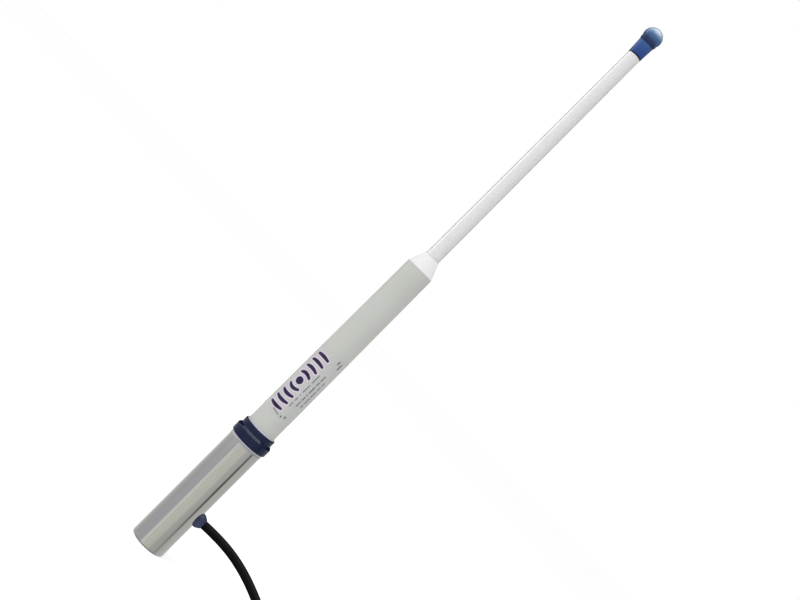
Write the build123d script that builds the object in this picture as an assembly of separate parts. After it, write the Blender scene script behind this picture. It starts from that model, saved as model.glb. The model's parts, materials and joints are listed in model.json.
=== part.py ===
from build123d import *
import math
import os

# Omnidirectional whip antenna. Millimetres. The origin is the centre of the mast thread's mouth,
# +Z runs up the whip to the tip, and +X is the side where the coax leaves the ferrule.

# Mast ferrule and its thread
ferrule_length = 105.1
ferrule_outer_d = 30.0
ferrule_wall = 1.4
ferrule_lip_radius = 1.1
ferrule_rim_radius = 0.3
thread_minor_d = 23.6
thread_length = 24.0
thread_lead_in = 0.8
stop_disc_thickness = 3.0
bond_gap = 0.05

# Cable gland in the ferrule's side wall
gland_height = 39.1
gland_reach = 5.2
gland_nose_wall = 0.8
gland_nose_chamfer = 0.5
gland_waist_reach = 3.4
gland_waist_margin = 0.8
gland_shoulder_reach = 1.6
gland_shoulder_margin = 1.85
gland_base_margin = 1.95
gland_side_wall = 0.6
gland_skirt_depth = 1.5
gland_neck_wall = 1.1
gland_nut_wall = 1.6
gland_nut_thickness = 2.8
lug_washer_wall = 0.6
lug_thickness = 0.8
lug_tab_width = 4.0
lug_tab_on_board = 6.0

# Collar between ferrule and radome
gasket_thickness = 1.2
gasket_inset = 0.15
collar_band_overhang = 1.35
collar_band_height = 7.2
collar_shoulder_height = 1.9
collar_neck_wall = 1.75
collar_neck_height = 5.1
collar_edge_radius = 1.2
collar_neck_edge_radius = 0.9
bead_height = 1.1
bead_width = 0.9
bead_crown_height = 0.55
bead_crown_width = 0.68
bead_top_width = 0.2

# Lower radome tube, which tapers above the collar
lower_tube_base_d = 25.4
lower_tube_taper = 1.8
lower_tube_wall = 1.8
lower_tube_insert_depth = 19.1
lower_tube_exposed_length = 168.3
sleeve_ledge_thickness = 2.0
sleeve_ledge_bore_d = 18.6

# Reducer that joins the two tubes: its shoulder length sets how far apart they stand
shoulder_length = 12.8
shoulder_lip_width = 0.5
reducer_spigot_length = 12.0
reducer_socket_depth = 18.0
reducer_bore_d = 6.0

# Upper radome tube
upper_tube_base_d = 12.2
upper_tube_taper = 1.1
upper_tube_wall = 1.3
upper_tube_exposed_length = 214.1

# Tip cap and ball
cap_rim_wall = 0.25
cap_rim_radius = 0.15
cap_skirt_length = 12.6
cap_skirt_top_wall = 0.85
cap_cup_height = 2.9
cap_cup_inset = 0.55
cap_socket_depth = 10.3
ball_d = 15.5
ball_rise = 7.0

# Label film
label_bottom_above_collar = 16.0
label_height = 64.0
label_thickness = 0.12
label_wrap_deg = 210.0

# Matching board inside the ferrule
board_above_gland = 4.9
board_top_gap = 4.0
board_past_lug = 0.55
board_thickness = 1.6
board_front_y = -2.4
board_spacer_thickness = 2.5
board_spacer_inset = 6.0
board_notch_width = 10.0
lug_slot_clearance = 0.8
coil_wire_d = 1.0
match_coil_d = 6.4
match_coil_pitch = 2.0
match_coil_turns = 6
match_coil_on_board = 11.0
capacitor_d = 5.2
capacitor_thickness = 2.0
capacitor_edge_radius = 0.5
capacitor_x = 6.0
capacitor_on_board = 20.0
core_d = 4.6
core_bend_radius = 6.0
core_x = -0.5
core_on_board = 9.0
jacket_stop = 0.4

# Radiators
feed_rod_d = 3.0
feed_rod_on_board = 26.0
former_top_gap = 6.8
former_length = 32.0
former_d = 12.0
former_socket_depth = 8.0
phase_wire_d = 1.2
phase_coil_pitch = 3.0
phase_coil_turns = 8
upper_rod_d = 2.0
upper_rod_top_gap = 10.7
end_bead_d = 5.0
end_bead_length = 5.0
choke_above_collar = 5.5
choke_top_gap = 16.0
choke_outer_d = 15.0
choke_wall = 0.8
choke_bush_length = 4.0
foam_ring_length = 10.0
foam_ring_inset = 14.0
feed_foam_gap = 6.0
foam_plug_length = 8.0
foam_plug_count = 3
foam_plug_first_gap = 18.4
foam_plug_last_gap = 25.0

# Coax, its put-away hank and its plug
coax_d = 7.0
hank_centre_x = 192.0
hank_layers = 5
hank_columns = 3
hank_inner_fold_radius = 21.0
hank_lobe_offset = 31.5
hank_waist_pinch = 10.0
tie_width = 10.0
tie_thickness = 1.2
tie_corner_radius = 5.0
plug_y = -11.0
plug_rear_x = 213.0
plug_lift = 0.3
crimp_wall = 1.2
crimp_tube_length = 13.0
boot_wall = 0.9
boot_cable_length = 6.5
boot_step_length = 1.5
boot_body_length = 9.0
plug_shoulder_step = 0.8
plug_shoulder_length = 3.0
plug_barrel_d = 12.4
plug_barrel_length = 9.5
plug_flange_step = 0.8
plug_flange_length = 2.4
plug_face_length = 5.0
plug_face_wall = 0.95
insulator_length = 6.0
pin_d = 3.96
pin_reach = 15.0
pin_tip_radius = 1.4
nut_wall = 1.8
nut_length = 18.5
nut_lip_thickness = 2.0
nut_clearance = 0.3
nut_thread_clearance = 0.5
nut_rear_chamfer = 1.2
nut_front_chamfer = 1.0
nut_knurl_count = 30
nut_knurl_depth = 0.5
nut_knurl_length = 12.0

# Modelling values
overshoot = 1.0
match_tolerance = 1e-4
arc_share = 0.45

# Route of the coax from the gland to the hank
lead_route = [
    (36.0, 0.0, 39.9),
    (58.0, -2.0, 37.8),
    (79.5, -7.5, 32.4),
    (99.5, -15.5, 24.6),
    (119.0, -24.5, 13.6),
    (140.0, -32.5, 5.0),
    (158.0, -35.0, 3.6),
]

# Route from the hank to the plug: the last value of each point is its height above the hank's top
tail_route = [
    (147.0, -23.0, -4.5),
    (160.0, -23.5, -1.8),
    (172.0, -21.5, 3.0),
    (186.0, -15.5, 8.0),
]

# Values that follow from the ones above
ferrule_r = ferrule_outer_d / 2
ferrule_bore_r = ferrule_r - ferrule_wall
insert_r = ferrule_bore_r - bond_gap
coax_r = coax_d / 2

# Gland, nut and lug stand on the coax; the nut's face meets the round bore of the ferrule
gland_nose_r = coax_r + gland_nose_wall
gland_neck_r = coax_r + gland_neck_wall
gland_nut_r = gland_neck_r + gland_nut_wall
gland_nose_x = ferrule_r + gland_reach
gland_nut_x = math.sqrt(ferrule_bore_r**2 - gland_nut_r**2) - bond_gap
lug_outer_x = gland_nut_x - gland_nut_thickness
lug_inner_x = lug_outer_x - lug_thickness
gland_neck_end_x = lug_inner_x - bond_gap

# Levels up the whip
collar_z = ferrule_length + gasket_thickness
collar_height = collar_band_height + collar_shoulder_height + collar_neck_height
lower_tube_bottom_z = ferrule_length - lower_tube_insert_depth
lower_tube_start_z = collar_z + collar_height
lower_tube_top_z = lower_tube_start_z + lower_tube_exposed_length
upper_tube_start_z = lower_tube_top_z + shoulder_length
cap_z = upper_tube_start_z + upper_tube_exposed_length
upper_tube_bottom_z = upper_tube_start_z - reducer_socket_depth
upper_tube_top_z = cap_z + cap_socket_depth
crease_z = cap_z + cap_skirt_length
ball_centre_z = crease_z + ball_rise

# Board between the gland and the tube sleeve, with what is soldered to it
board_bottom_z = gland_height + board_above_gland
board_height = lower_tube_bottom_z - sleeve_ledge_thickness - board_top_gap - board_bottom_z
board_width = 2 * (lug_inner_x + board_past_lug)

# Radiators between the board, the reducer and the tip cap
former_bottom_z = lower_tube_top_z - reducer_spigot_length - former_top_gap - former_length
feed_foam_z = former_bottom_z - feed_foam_gap - foam_ring_length
choke_bottom_z = lower_tube_start_z + choke_above_collar
choke_length = feed_foam_z - choke_top_gap - choke_bottom_z
upper_rod_bottom_z = former_bottom_z + former_length - former_socket_depth
upper_rod_top_z = cap_z - upper_rod_top_gap

# Hank and plug
hank_height = hank_layers * coax_d
hank_lobe_r = hank_inner_fold_radius + (hank_columns - 0.5) * coax_d
crimp_tube_r = coax_r + crimp_wall
plug_barrel_r = plug_barrel_d / 2
plug_flange_r = plug_barrel_r + plug_flange_step
insulator_bore_r = plug_barrel_r - plug_face_wall
insulator_r = insulator_bore_r - bond_gap
nut_thread_r = plug_flange_r + nut_thread_clearance
nut_outer_r = nut_thread_r + nut_wall
plug_z = hank_height + nut_outer_r + plug_lift
crimp_end_x = plug_rear_x + crimp_tube_length
barrel_x = crimp_end_x + plug_shoulder_length
flange_x = barrel_x + plug_barrel_length
face_x = flange_x + plug_flange_length
insulator_end_x = face_x + plug_face_length
insulator_seat_x = insulator_end_x - insulator_length
nut_rear_x = flange_x - nut_clearance - nut_lip_thickness


def turned(outline):
    """A solid of revolution about Z from (radius, height) points."""
    face = make_face(Polyline(*[(r, 0, z) for r, z in outline], close=True))
    return revolve(face, Axis.Z)


def turned_on_x(outline, y=0.0, z=0.0):
    """A solid of revolution about a line along X, from (x, radius) points."""
    face = make_face(Polyline(*[(x, y, z + r) for x, r in outline], close=True))
    return revolve(face, Axis((0, y, z), (1, 0, 0)))


def ring(inner_r, outer_r, bottom, top):
    return turned([(inner_r, bottom), (outer_r, bottom), (outer_r, top), (inner_r, top)])


def disc(radius, bottom, top):
    return Pos(0, 0, (bottom + top) / 2) * Cylinder(radius, top - bottom)


def rod_on_x(radius, x_start, x_end, y=0.0, z=0.0):
    return Pos((x_start + x_end) / 2, y, z) * Rot(0, 90, 0) * Cylinder(radius, x_end - x_start)


def rim(solid, radius, height):
    """The circular edges of that radius at that height."""
    circles = solid.edges().filter_by(GeomType.CIRCLE)
    return circles.filter_by(
        lambda e: abs(e.radius - radius) < match_tolerance
        and abs(e.arc_center.Z - height) < match_tolerance
    )


def lower_tube_r(z):
    """Outer radius of the lower tube: straight up to the collar's top, then a steady taper."""
    share = max(0.0, (z - lower_tube_start_z) / lower_tube_exposed_length)
    return (lower_tube_base_d - lower_tube_taper * share) / 2


def upper_tube_r(z):
    """Outer radius of the upper tube: straight inside the reducer, then a steady taper."""
    share = max(0.0, (z - upper_tube_start_z) / upper_tube_exposed_length)
    return (upper_tube_base_d - upper_tube_taper * share) / 2


def lower_bore_r(z):
    return lower_tube_r(z) - lower_tube_wall


def upper_bore_r(z):
    return upper_tube_r(z) - upper_tube_wall


def wire_coil(coil_r, wire_d, pitch, turns, bottom_z, y=0.0):
    path = Pos(0, y, bottom_z) * Helix(pitch, pitch * turns, coil_r)
    section = Plane(origin=path @ 0, z_dir=path % 0) * Circle(wire_d / 2)
    return sweep(section, path, is_frenet=True)


def corner_radii(points):
    """For each corner, a share of the shorter run over the tangent of half the turn."""
    radii = []
    for before, corner, after in zip(points, points[1:], points[2:]):
        run_in = Vector(*corner) - Vector(*before)
        run_out = Vector(*after) - Vector(*corner)
        half_turn = math.radians(run_in.get_angle(run_out) / 2)
        radii.append(arc_share * min(run_in.length, run_out.length) / math.tan(half_turn))
    return radii


def coax_tube(points, name):
    radii = corner_radii(points)
    path = FilletPolyline(*points, radius=radii)
    section = Plane(origin=path @ 0, z_dir=path % 0) * Circle(coax_r)
    tube = sweep(section, path)
    expected = math.pi * coax_r**2 * path.length
    print(name, "radii", [round(r, 1) for r in radii], "length", round(path.length, 1),
          "volume share", round(tube.volume / expected, 4))
    return tube


def make_ferrule():
    tube = ring(ferrule_bore_r, ferrule_r, 0, ferrule_length)
    tube = fillet(rim(tube, ferrule_r, 0), ferrule_lip_radius)
    tube = fillet(rim(tube, ferrule_r, ferrule_length), ferrule_rim_radius)
    return tube - rod_on_x(gland_neck_r + bond_gap, 0, ferrule_outer_d, z=gland_height)


def make_thread_bush():
    bush = ring(thread_minor_d / 2, insert_r, 0, thread_length)
    return chamfer(rim(bush, thread_minor_d / 2, 0), thread_lead_in)


def make_cable_gland():
    base_x = ferrule_r - gland_skirt_depth
    base_r = gland_nose_r + gland_base_margin
    flare = [
        (base_x, 0),
        (base_x, base_r),
        (ferrule_r + gland_shoulder_reach, gland_nose_r + gland_shoulder_margin),
        (ferrule_r + gland_waist_reach, gland_nose_r + gland_waist_margin),
        (gland_nose_x - gland_nose_chamfer, gland_nose_r),
        (gland_nose_x, gland_nose_r - gland_nose_chamfer),
        (gland_nose_x, 0),
    ]
    sides = Pos(gland_nose_x / 2, 0, gland_height) * Box(
        gland_nose_x, 2 * (gland_nose_r + gland_side_wall), 4 * base_r
    )
    dome = turned_on_x(flare, z=gland_height) & sides
    saddle = disc(ferrule_r + bond_gap, gland_height - 2 * base_r, gland_height + 2 * base_r)
    neck = rod_on_x(gland_neck_r, gland_neck_end_x, ferrule_r + overshoot, z=gland_height)
    bore = rod_on_x(coax_r + bond_gap, 0, gland_nose_x + overshoot, z=gland_height)
    return dome - saddle + neck - bore


def neck_hole():
    """What the gland's neck passes through, with its clearance."""
    return rod_on_x(gland_neck_r + bond_gap, 0, ferrule_r, z=gland_height)


def make_gland_nut():
    return rod_on_x(gland_nut_r, lug_outer_x, gland_nut_x, z=gland_height) - neck_hole()


def make_ground_lug():
    washer_r = gland_neck_r + lug_washer_wall
    washer = rod_on_x(washer_r, lug_inner_x, lug_outer_x, z=gland_height) - neck_hole()
    tab_bottom = gland_height + gland_neck_r + bond_gap
    tab_top = board_bottom_z + lug_tab_on_board
    tab = Pos(
        (lug_inner_x + lug_outer_x) / 2,
        board_front_y + lug_tab_width / 2,
        (tab_bottom + tab_top) / 2,
    ) * Box(lug_thickness, lug_tab_width, tab_top - tab_bottom)
    return washer + tab


def make_inner_coax():
    jacket = rod_on_x(coax_r, gland_neck_end_x - jacket_stop, gland_nose_x, z=gland_height)
    path = FilletPolyline(
        (gland_neck_end_x, 0, gland_height),
        (core_x, 0, gland_height),
        (core_x, 0, board_bottom_z + core_on_board),
        radius=core_bend_radius,
    )
    core = sweep(Plane(origin=path @ 0, z_dir=path % 0) * Circle(core_d / 2), path)
    return jacket + core


def board_box(grow=0.0):
    centre_y = board_front_y - board_thickness / 2
    return Pos(0, centre_y, board_bottom_z + board_height / 2) * Box(
        board_width + 2 * grow, board_thickness + 2 * grow, board_height
    )


def make_board_spacers():
    spacers = []
    notch_depth = 2 * insert_r
    cut_height = board_spacer_thickness + 2 * overshoot
    for bottom in (
        board_bottom_z + board_spacer_inset,
        board_bottom_z + board_height - board_spacer_inset - board_spacer_thickness,
    ):
        middle = bottom + board_spacer_thickness / 2
        plate = disc(insert_r, bottom, bottom + board_spacer_thickness)
        notch = Pos(0, board_front_y + notch_depth / 2, middle) * Box(
            board_notch_width, notch_depth, cut_height
        )
        lug_slot = Pos(board_width / 2, board_front_y + lug_tab_width / 2, middle) * Box(
            2 * (lug_thickness + lug_slot_clearance), lug_tab_width + 2 * bond_gap, cut_height
        )
        spacers.append(plate - notch - board_box(bond_gap) - lug_slot)
    return Compound(spacers)


def make_matching_coil():
    coil_r = (match_coil_d - coil_wire_d) / 2
    coil_y = board_front_y + match_coil_d / 2 + bond_gap
    return wire_coil(coil_r, coil_wire_d, match_coil_pitch, match_coil_turns,
                     board_bottom_z + match_coil_on_board, coil_y)


def make_capacitor():
    centre_y = board_front_y + capacitor_thickness / 2
    place = Pos(capacitor_x, centre_y, board_bottom_z + capacitor_on_board)
    body = place * Rot(90, 0, 0) * Cylinder(capacitor_d / 2, capacitor_thickness)
    front_edge = body.edges().filter_by(GeomType.CIRCLE).sort_by(Axis.Y)[-1]
    return fillet(front_edge, capacitor_edge_radius)


def make_tube_sleeve():
    bottom = lower_tube_bottom_z - sleeve_ledge_thickness
    outline = [
        (sleeve_ledge_bore_d / 2, bottom),
        (insert_r, bottom),
        (insert_r, ferrule_length),
        (lower_tube_base_d / 2 + bond_gap, ferrule_length),
        (lower_tube_base_d / 2 + bond_gap, lower_tube_bottom_z),
        (sleeve_ledge_bore_d / 2, lower_tube_bottom_z),
    ]
    return turned(outline)


def make_collar():
    bore_r = lower_tube_base_d / 2 + bond_gap
    band_r = ferrule_r + collar_band_overhang
    band_top = collar_z + collar_band_height
    neck_r = lower_tube_base_d / 2 + collar_neck_wall
    neck_z = band_top + collar_shoulder_height
    outline = [
        (bore_r, collar_z),
        (band_r, collar_z),
        (band_r, band_top),
        (neck_r, neck_z),
        (neck_r, lower_tube_start_z),
        (bore_r, lower_tube_start_z),
    ]
    body = turned(outline)
    body = fillet(rim(body, band_r, collar_z), collar_edge_radius)
    body = fillet(rim(body, band_r, band_top), collar_edge_radius)
    return fillet(rim(body, neck_r, lower_tube_start_z), collar_neck_edge_radius)


def make_sealant_bead():
    bottom = lower_tube_start_z
    top = bottom + bead_height
    outline = [
        (lower_tube_r(bottom), bottom),
        (lower_tube_r(bottom) + bead_width, bottom),
        (lower_tube_r(bottom) + bead_crown_width, bottom + bead_crown_height),
        (lower_tube_r(top) + bead_top_width, top),
        (lower_tube_r(top), top),
    ]
    return turned(outline)


def make_lower_tube():
    top = lower_tube_top_z
    outline = [
        (lower_bore_r(lower_tube_bottom_z), lower_tube_bottom_z),
        (lower_tube_r(lower_tube_bottom_z), lower_tube_bottom_z),
        (lower_tube_r(lower_tube_start_z), lower_tube_start_z),
        (lower_tube_r(top), top),
        (lower_bore_r(top), top),
        (lower_bore_r(lower_tube_start_z), lower_tube_start_z),
    ]
    return turned(outline)


def make_tube_reducer():
    top = lower_tube_top_z
    spigot_bottom = top - reducer_spigot_length
    socket_r = upper_tube_base_d / 2 + bond_gap
    lip_r = socket_r + shoulder_lip_width
    spigot_r = lower_bore_r(top) - bond_gap
    outline = [
        (reducer_bore_d / 2, spigot_bottom),
        (spigot_r, spigot_bottom),
        (spigot_r, top),
        (lower_tube_r(top), top),
        (lip_r, upper_tube_start_z),
        (socket_r, upper_tube_start_z),
        (socket_r, upper_tube_bottom_z),
        (reducer_bore_d / 2, upper_tube_bottom_z),
    ]
    return turned(outline)


def make_upper_tube():
    outline = [
        (upper_bore_r(upper_tube_bottom_z), upper_tube_bottom_z),
        (upper_tube_r(upper_tube_bottom_z), upper_tube_bottom_z),
        (upper_tube_r(upper_tube_start_z), upper_tube_start_z),
        (upper_tube_r(upper_tube_top_z), upper_tube_top_z),
        (upper_bore_r(upper_tube_top_z), upper_tube_top_z),
        (upper_bore_r(upper_tube_start_z), upper_tube_start_z),
    ]
    return turned(outline)


def make_tip_cap():
    cup_z = crease_z + cap_cup_height
    rim_r = upper_tube_r(cap_z) + cap_rim_wall
    mouth_z = cap_z - overshoot
    body = turned([
        (0, cap_z),
        (rim_r, cap_z),
        (upper_tube_r(cap_z) + cap_skirt_top_wall, crease_z),
        (ball_d / 2 - cap_cup_inset, cup_z),
        (0, cup_z),
    ])
    body = fillet(rim(body, rim_r, cap_z), cap_rim_radius)
    socket = turned([
        (0, mouth_z),
        (upper_tube_r(mouth_z) + bond_gap, mouth_z),
        (upper_tube_r(upper_tube_top_z) + bond_gap, upper_tube_top_z),
        (0, upper_tube_top_z),
    ])
    seat = Pos(0, 0, ball_centre_z) * Sphere(ball_d / 2 + bond_gap)
    return body - socket - seat


def make_label_film():
    bottom = lower_tube_start_z + label_bottom_above_collar
    top = bottom + label_height
    outline = [
        (lower_tube_r(bottom), bottom),
        (lower_tube_r(bottom) + label_thickness, bottom),
        (lower_tube_r(top) + label_thickness, top),
        (lower_tube_r(top), top),
    ]
    face = make_face(Polyline(*[(r, 0, z) for r, z in outline], close=True))
    start = Rot(0, 0, -90 - label_wrap_deg / 2)
    return start * revolve(face, Axis.Z, label_wrap_deg)


def make_feed_rod():
    bottom = board_bottom_z + feed_rod_on_board
    return disc(feed_rod_d / 2, bottom, former_bottom_z + former_socket_depth)


def make_choke_sleeve():
    return ring(choke_outer_d / 2 - choke_wall, choke_outer_d / 2,
                choke_bottom_z, choke_bottom_z + choke_length)


def make_choke_bushes():
    inner_r = feed_rod_d / 2 + bond_gap
    outer_r = choke_outer_d / 2 - choke_wall - bond_gap
    starts = (choke_bottom_z, choke_bottom_z + choke_length - choke_bush_length)
    return Compound([ring(inner_r, outer_r, z, z + choke_bush_length) for z in starts])


def foam_ring(inner_r, bottom):
    top = bottom + foam_ring_length
    return ring(inner_r, lower_bore_r(top) - bond_gap, bottom, top)


def make_former():
    top = former_bottom_z + former_length
    feed_hole = disc(feed_rod_d / 2 + bond_gap, former_bottom_z - overshoot,
                     former_bottom_z + former_socket_depth)
    upper_hole = disc(upper_rod_d / 2 + bond_gap, upper_rod_bottom_z, top + overshoot)
    return disc(former_d / 2, former_bottom_z, top) - feed_hole - upper_hole


def make_phasing_coil():
    coil_r = (former_d + phase_wire_d) / 2 + bond_gap
    height = phase_coil_pitch * phase_coil_turns
    bottom = former_bottom_z + (former_length - height) / 2
    return wire_coil(coil_r, phase_wire_d, phase_coil_pitch, phase_coil_turns, bottom)


def make_foam_plugs():
    inner_r = upper_rod_d / 2 + bond_gap
    first = upper_tube_start_z + foam_plug_first_gap
    spacing = (upper_rod_top_z - foam_plug_last_gap - first) / (foam_plug_count - 1)
    plugs = []
    for index in range(foam_plug_count):
        bottom = first + index * spacing
        top = bottom + foam_plug_length
        plugs.append(ring(inner_r, upper_bore_r(top) - bond_gap, bottom, top))
    return Compound(plugs)


def make_end_bead():
    bottom = upper_rod_top_z - end_bead_length / 2
    bead = disc(end_bead_d / 2, bottom, bottom + end_bead_length)
    return bead - disc(upper_rod_d / 2 + bond_gap, bottom - overshoot, upper_rod_top_z)


def hank_outline():
    """Two round ends with a narrower waist between them, seen from above."""
    waist = 2 * (hank_lobe_r - hank_waist_pinch)
    shape = Rectangle(2 * hank_lobe_offset, waist)
    for side in (-1, 1):
        shape += Pos(side * hank_lobe_offset, 0) * Circle(hank_lobe_r)
    return shape


def tie_block(inset, width):
    """The waist's cross-section, less that inset, as a block along X."""
    half_width = hank_lobe_r - hank_waist_pinch - inset
    section = RectangleRounded(
        2 * half_width, hank_height - 2 * inset, tie_corner_radius - inset
    )
    block = extrude(Plane.YZ * section, width / 2, both=True)
    return Pos(hank_centre_x, 0, hank_height / 2) * block


def make_hank_tie():
    return tie_block(0.0, tie_width) - tie_block(tie_thickness, 2 * tie_width)


def make_coax_hank():
    body = Pos(hank_centre_x, 0, 0) * extrude(hank_outline(), hank_height)
    around = Pos(hank_centre_x, 0, hank_height / 2) * Box(
        tie_width, 3 * hank_lobe_r, 2 * hank_height
    )
    return body - (around - tie_block(tie_thickness, 2 * tie_width))


def make_coax_lead():
    start = (gland_nose_x, 0, gland_height)
    return coax_tube([start] + lead_route, "coax_lead")


def make_coax_tail():
    last_run = plug_rear_x - tail_route[-1][0]
    route = [(x, y, hank_height + rise) for x, y, rise in tail_route]
    ends = [(plug_rear_x - last_run / 2, plug_y, plug_z), (plug_rear_x, plug_y, plug_z)]
    return coax_tube(route + ends, "coax_tail")


def make_plug_boot():
    cable_r = coax_r + bond_gap
    crimp_r = crimp_tube_r + bond_gap
    front_x = plug_rear_x + boot_body_length
    outline = [
        (plug_rear_x - boot_cable_length, cable_r),
        (plug_rear_x - boot_cable_length, cable_r + boot_wall),
        (plug_rear_x - boot_step_length, cable_r + boot_wall),
        (plug_rear_x, crimp_r + boot_wall),
        (front_x, crimp_r + boot_wall),
        (front_x, crimp_r),
        (plug_rear_x, crimp_r),
        (plug_rear_x, cable_r),
    ]
    return turned_on_x(outline, plug_y, plug_z)


def make_plug_body():
    shoulder_r = plug_barrel_r + plug_shoulder_step
    outline = [
        (plug_rear_x, 0),
        (plug_rear_x, crimp_tube_r),
        (crimp_end_x, crimp_tube_r),
        (crimp_end_x, shoulder_r),
        (barrel_x, shoulder_r),
        (barrel_x, plug_barrel_r),
        (flange_x, plug_barrel_r),
        (flange_x, plug_flange_r),
        (face_x, plug_flange_r),
        (face_x, plug_barrel_r),
        (insulator_end_x, plug_barrel_r),
        (insulator_end_x, insulator_bore_r),
        (insulator_seat_x, insulator_bore_r),
        (insulator_seat_x, 0),
    ]
    return turned_on_x(outline, plug_y, plug_z)


def make_plug_insulator():
    block = rod_on_x(insulator_r, insulator_seat_x, insulator_end_x, plug_y, plug_z)
    hole = rod_on_x(pin_d / 2 + bond_gap, insulator_seat_x - overshoot,
                    insulator_end_x + overshoot, plug_y, plug_z)
    return block - hole


def make_plug_pin():
    pin = rod_on_x(pin_d / 2, insulator_seat_x, insulator_end_x + pin_reach, plug_y, plug_z)
    tip = pin.edges().filter_by(GeomType.CIRCLE).sort_by(Axis.X)[-1]
    return fillet(tip, pin_tip_radius)


def make_coupling_nut():
    lip_end_x = nut_rear_x + nut_lip_thickness
    front_x = nut_rear_x + nut_length
    lip_r = plug_barrel_r + nut_clearance
    outline = [
        (nut_rear_x, lip_r),
        (nut_rear_x, nut_outer_r - nut_rear_chamfer),
        (nut_rear_x + nut_rear_chamfer, nut_outer_r),
        (front_x - nut_front_chamfer, nut_outer_r),
        (front_x, nut_outer_r - nut_front_chamfer),
        (front_x, nut_thread_r),
        (lip_end_x, nut_thread_r),
        (lip_end_x, lip_r),
    ]
    nut = turned_on_x(outline, plug_y, plug_z)
    middle = Pos(nut_rear_x + nut_length / 2, plug_y, plug_z)
    side = nut_knurl_depth * math.sqrt(2)
    bar = Pos(0, 0, nut_outer_r) * Rot(45, 0, 0) * Box(nut_knurl_length, side, side)
    for index in range(nut_knurl_count):
        nut -= middle * Rot(360.0 * index / nut_knurl_count, 0, 0) * bar
    return nut


parts = {
    "ferrule": make_ferrule(),
    "thread_bush": make_thread_bush(),
    "stop_disc": disc(insert_r, thread_length, thread_length + stop_disc_thickness),
    "cable_gland": make_cable_gland(),
    "gland_nut": make_gland_nut(),
    "ground_lug": make_ground_lug(),
    "inner_coax": make_inner_coax(),
    "matching_board": board_box(),
    "board_spacers": make_board_spacers(),
    "matching_coil": make_matching_coil(),
    "tuning_capacitor": make_capacitor(),
    "tube_sleeve": make_tube_sleeve(),
    "collar_gasket": ring(lower_tube_base_d / 2 + bond_gap, ferrule_r - gasket_inset,
                          ferrule_length, collar_z),
    "collar": make_collar(),
    "sealant_bead": make_sealant_bead(),
    "lower_tube": make_lower_tube(),
    "tube_reducer": make_tube_reducer(),
    "upper_tube": make_upper_tube(),
    "tip_cap": make_tip_cap(),
    "tip_ball": Pos(0, 0, ball_centre_z) * Sphere(ball_d / 2),
    "label_film": make_label_film(),
    "feed_rod": make_feed_rod(),
    "choke_sleeve": make_choke_sleeve(),
    "choke_bushes": make_choke_bushes(),
    "foam_ring_lower": foam_ring(choke_outer_d / 2 + bond_gap, choke_bottom_z + foam_ring_inset),
    "foam_ring_middle": foam_ring(
        choke_outer_d / 2 + bond_gap,
        choke_bottom_z + choke_length - foam_ring_inset - foam_ring_length,
    ),
    "foam_ring_upper": foam_ring(feed_rod_d / 2 + bond_gap, feed_foam_z),
    "coil_former": make_former(),
    "phasing_coil": make_phasing_coil(),
    "upper_radiator": disc(upper_rod_d / 2, upper_rod_bottom_z, upper_rod_top_z),
    "foam_plugs": make_foam_plugs(),
    "radiator_end_bead": make_end_bead(),
    "coax_lead": make_coax_lead(),
    "coax_hank": make_coax_hank(),
    "coax_tail": make_coax_tail(),
    "hank_tie": make_hank_tie(),
    "plug_boot": make_plug_boot(),
    "plug_body": make_plug_body(),
    "plug_insulator": make_plug_insulator(),
    "plug_pin": make_plug_pin(),
    "coupling_nut": make_coupling_nut(),
}

os.makedirs("parts", exist_ok=True)
for name, solid in parts.items():
    export_step(solid, f"parts/{name}.step")
print(len(parts), "parts,", "height", round(ball_centre_z + ball_d / 2, 1), "mm")
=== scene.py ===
import json
import math

import bpy
import numpy as np
from mathutils import Matrix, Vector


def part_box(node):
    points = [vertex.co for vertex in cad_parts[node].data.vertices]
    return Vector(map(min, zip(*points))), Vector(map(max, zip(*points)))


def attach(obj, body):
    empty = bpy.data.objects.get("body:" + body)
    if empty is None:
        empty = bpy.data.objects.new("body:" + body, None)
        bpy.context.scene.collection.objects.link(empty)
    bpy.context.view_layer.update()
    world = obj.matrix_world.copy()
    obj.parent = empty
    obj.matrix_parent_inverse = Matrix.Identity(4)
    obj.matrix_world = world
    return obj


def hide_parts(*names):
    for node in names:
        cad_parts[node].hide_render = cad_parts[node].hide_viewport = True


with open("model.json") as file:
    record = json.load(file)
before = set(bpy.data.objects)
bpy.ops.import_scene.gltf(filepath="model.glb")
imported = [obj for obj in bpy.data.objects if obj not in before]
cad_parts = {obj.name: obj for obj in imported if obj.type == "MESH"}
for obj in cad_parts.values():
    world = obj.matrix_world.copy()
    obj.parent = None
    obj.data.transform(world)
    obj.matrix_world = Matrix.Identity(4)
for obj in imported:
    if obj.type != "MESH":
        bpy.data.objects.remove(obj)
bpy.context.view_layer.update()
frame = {"nodes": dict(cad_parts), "record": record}
random = np.random.default_rng(27)
print("frame loaded:", len(frame["nodes"]), "nodes")


def shellMesh(name, rows, closeAround=False, closeAlong=False, capEnds=False, smooth=True):
    # rows is a grid of points (m, n, 3); face (i, j) joins rows i, i+1 and columns j, j+1. capEnds closes
    # the first and the last row with one face each.
    m, n, _ = rows.shape
    index = np.arange(m * n).reshape(m, n)
    down = np.concatenate([index, index[:1]]) if closeAlong else index
    grid = np.concatenate([down, down[:, :1]], axis=1) if closeAround else down
    quads = np.stack([grid[:-1, :-1], grid[:-1, 1:], grid[1:, 1:], grid[1:, :-1]], axis=-1).reshape(-1, 4)
    faces = quads.tolist()
    if capEnds:
        faces += [index[0].tolist(), index[-1, ::-1].tolist()]
    mesh = bpy.data.meshes.new(name)
    mesh.from_pydata(rows.reshape(-1, 3).tolist(), [], faces)
    mesh.polygons.foreach_set("use_smooth", np.full(len(faces), smooth))
    mesh.update()
    piece = bpy.data.objects.new(name, mesh)
    bpy.context.scene.collection.objects.link(piece)
    return piece


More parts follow.
